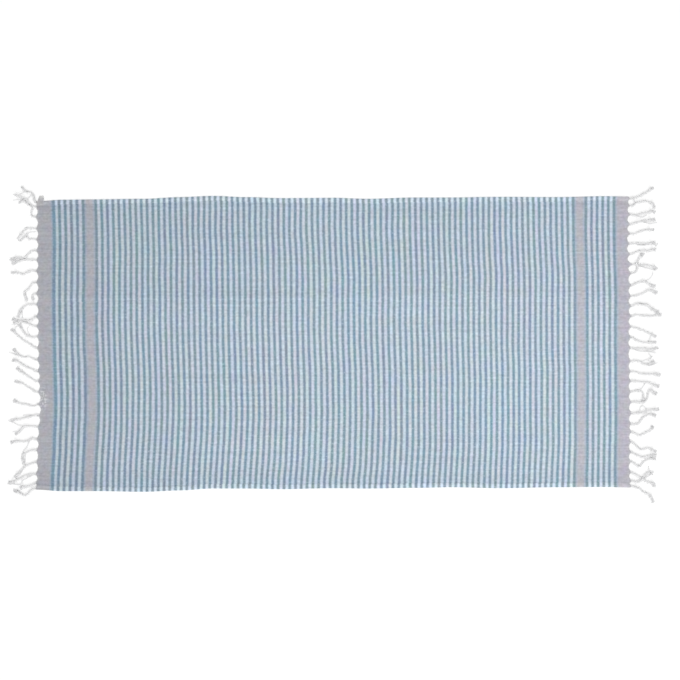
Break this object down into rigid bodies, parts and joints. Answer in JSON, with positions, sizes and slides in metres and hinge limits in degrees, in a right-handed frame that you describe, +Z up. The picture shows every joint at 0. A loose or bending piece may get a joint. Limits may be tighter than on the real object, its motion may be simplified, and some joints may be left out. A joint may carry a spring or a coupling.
{
  "type": "hammam towel",
  "caption": "Flat-woven cotton towel laid flat, with even blue-grey cross stripes, a narrow hem along each long side and a knotted cord fringe at each short end.",
  "frame": {"origin": "middle of the towel's footprint, fringe tips included, on the surface that it lies on", "axes": "+X along the towel's length, from one fringed end to the other; +Y across its width; +Z up, out of the surface"},
  "size_m": [2.0237, 0.986, 0.0064],
  "materials": {
    "striped_cotton": "matte flat weave with even cross stripes of teal grey on pale blue, and a plain grey band near and at each end",
    "cotton_cord": "matte off-white twisted cotton warp ends, knotted, with soft frayed tips"
  },
  "bodies": {
    "root": {"towel_cloth": "striped_cotton", "fringe_left": "cotton_cord", "fringe_right": "cotton_cord"}
  },
  "joints": []
}
